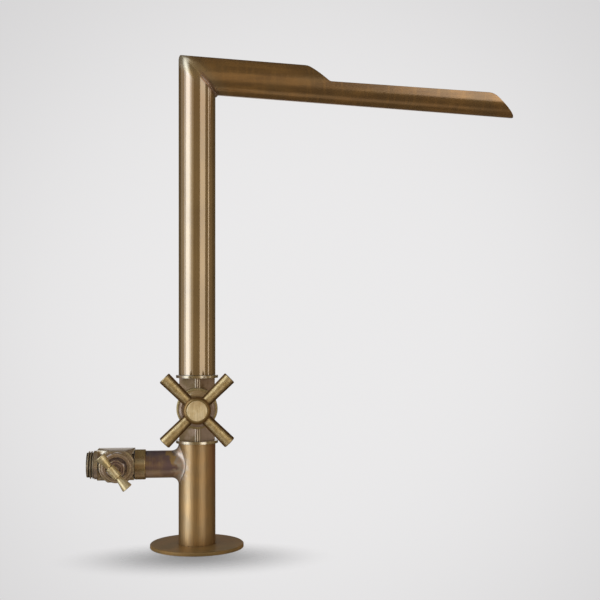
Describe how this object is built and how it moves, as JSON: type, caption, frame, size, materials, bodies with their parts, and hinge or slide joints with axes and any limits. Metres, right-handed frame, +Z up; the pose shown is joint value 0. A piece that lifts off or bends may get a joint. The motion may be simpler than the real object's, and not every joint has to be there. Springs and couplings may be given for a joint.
{
  "type": "cross handle tap",
  "caption": "Tall antique brass tap: round foot, column with a cross-handled valve, side branch with a T-handled stop valve, and a long sloping spout cut open on top.",
  "frame": {"origin": "centre of the foot flange's underside, on the deck the tap stands on", "axes": "+Z up along the column; +X along the spout; the branch runs to -X and both handles face -Y"},
  "size_m": [0.3295, 0.0814, 0.3736],
  "materials": {
    "aged_brass_column": "antique brass, brushed along the tube",
    "aged_brass_spout": "antique brass, brushed along the pipe, darker",
    "aged_brass_body": "antique brass, satin, slightly olive",
    "aged_brass_handle": "antique brass, satin, rubbed brighter",
    "aged_brass_side_valve": "antique brass, satin, heat tinted at the joint",
    "aged_brass_flange": "antique brass, satin, dull",
    "inner_brass": "machined brass, bare",
    "seal_rubber": "matt black",
    "white_ceramic": "ground and polished",
    "white_plastic": "matt white",
    "spring_steel": "bright stainless",
    "chromed_ball": "polished"
  },
  "bodies": {
    "tap_base": {"deck_flange": "aged_brass_flange", "flange_gasket": "seal_rubber", "inlet_plug": "inner_brass", "lower_column": "aged_brass_column", "branch_tube": "aged_brass_side_valve", "lower_collar": "aged_brass_body", "valve_body": "aged_brass_body", "upper_collar": "aged_brass_body", "headwork_body": "inner_brass", "headwork_gasket": "seal_rubber", "headwork_shroud": "aged_brass_body", "seat_seal": "seal_rubber", "fixed_disc": "white_ceramic", "swivel_spigot": "inner_brass", "swivel_orings": "seal_rubber", "swivel_washer": "white_plastic", "swivel_clip": "spring_steel", "side_coupling": "aged_brass_side_valve", "coupling_washer": "seal_rubber", "side_valve_body": "aged_brass_side_valve", "side_seat_outlet": "white_plastic", "side_seat_inlet": "white_plastic", "side_bonnet": "aged_brass_side_valve", "side_packing": "white_plastic", "side_gland_screw": "aged_brass_side_valve"},
    "cross_handle": {"handle_hub": "aged_brass_handle", "handle_arm_1": "aged_brass_handle", "handle_arm_2": "aged_brass_handle", "handle_arm_3": "aged_brass_handle", "handle_arm_4": "aged_brass_handle", "index_cap": "aged_brass_handle", "handle_screw": "spring_steel", "spindle": "inner_brass", "spindle_oring": "seal_rubber", "spindle_clip": "spring_steel", "moving_disc": "white_ceramic"},
    "swivel_spout": {"upper_column": "aged_brass_column", "spout": "aged_brass_spout", "swivel_bush": "inner_brass"},
    "side_handle": {"t_handle_barrel": "aged_brass_handle", "t_handle_arm_lower": "aged_brass_handle", "t_handle_arm_upper": "aged_brass_handle", "side_stem": "inner_brass", "side_ball": "chromed_ball"}
  },
  "joints": [
    {"name": "cross_handle_turn", "type": "hinge", "parent": "tap_base", "child": "cross_handle", "pos_m": [0, -0.0345, 0.1063], "axis": [0, -1, 0], "range_deg": [0, 90]},
    {"name": "spout_swivel", "type": "hinge", "parent": "tap_base", "child": "swivel_spout", "pos_m": [0, 0, 0.1332], "axis": [0, 0, 1], "range_deg": [-90, 90]},
    {"name": "side_handle_turn", "type": "hinge", "parent": "tap_base", "child": "side_handle", "pos_m": [-0.05925, -0.0419, 0.063], "axis": [0, -1, 0], "range_deg": [-40, 50]}
  ]
}
